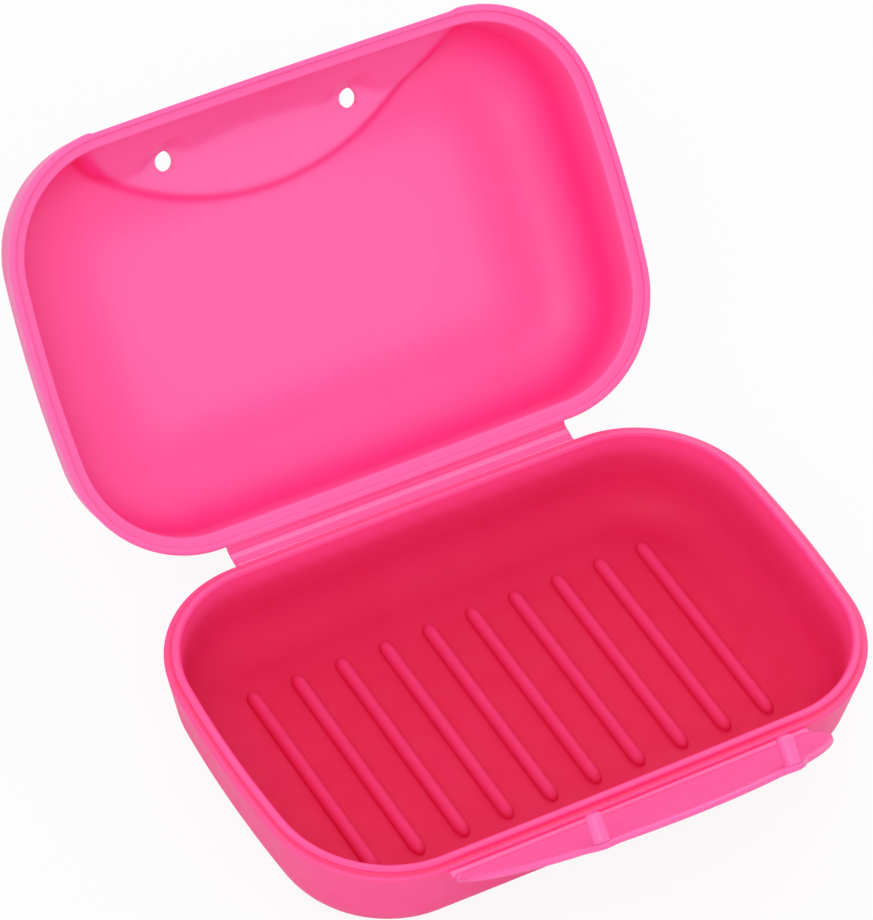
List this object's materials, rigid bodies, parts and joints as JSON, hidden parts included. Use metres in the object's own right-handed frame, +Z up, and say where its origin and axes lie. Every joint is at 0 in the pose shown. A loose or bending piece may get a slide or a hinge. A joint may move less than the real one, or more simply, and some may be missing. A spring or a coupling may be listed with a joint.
{
  "type": "travel soap box",
  "caption": "Hinged pink plastic travel soap box, shown open: a ribbed tray, a domed lid on a folding strap hinge and a studded latch flap that snaps into holes in the lid.",
  "frame": {"origin": "centre of the flat foot of the tray, on the surface that the box stands on", "axes": "+Z up, +X along the long side, +Y from the latch towards the strap hinge"},
  "size_m": [0.11, 0.1496, 0.0714],
  "materials": {
    "pink_shell": "satin, slightly translucent",
    "pink_film": "thin satin film"
  },
  "bodies": {
    "tray": {"tray_shell": "pink_shell", "drain_ribs": "pink_shell", "tray_hinge_film": "pink_film", "latch_hinge_film": "pink_film"},
    "strap": {"hinge_strap": "pink_film", "lid_hinge_film": "pink_film"},
    "lid": {"lid_shell": "pink_shell"},
    "latch": {"latch_flap": "pink_shell", "latch_fold_film": "pink_film"},
    "latch_tip": {"latch_tip": "pink_shell", "latch_studs": "pink_shell"}
  },
  "joints": [
    {"name": "strap_hinge", "type": "hinge", "parent": "tray", "child": "strap", "pos_m": [0, 0.03645, 0.0164], "axis": [-1, 0, 0], "range_deg": [-74.01, 24.02]},
    {"name": "lid_hinge", "type": "hinge", "parent": "strap", "child": "lid", "pos_m": [0, 0.03866, 0.01703], "axis": [-1, 0, 0], "range_deg": [-58, 18.8]},
    {"name": "latch_hinge", "type": "hinge", "parent": "tray", "child": "latch", "pos_m": [0, -0.0367, 0.0162], "axis": [1, 0, 0], "range_deg": [-68.14, 12]},
    {"name": "tip_fold", "type": "hinge", "parent": "latch", "child": "latch_tip", "pos_m": [0, -0.05083, 0.03135], "axis": [1, 0, 0], "range_deg": [-64.87, 11.5]}
  ],
  "couplings": [
    {"joint": "strap_hinge", "follows": "lid_hinge", "ratio": 1.2759},
    {"joint": "tip_fold", "follows": "latch_hinge", "ratio": 0.95178}
  ]
}
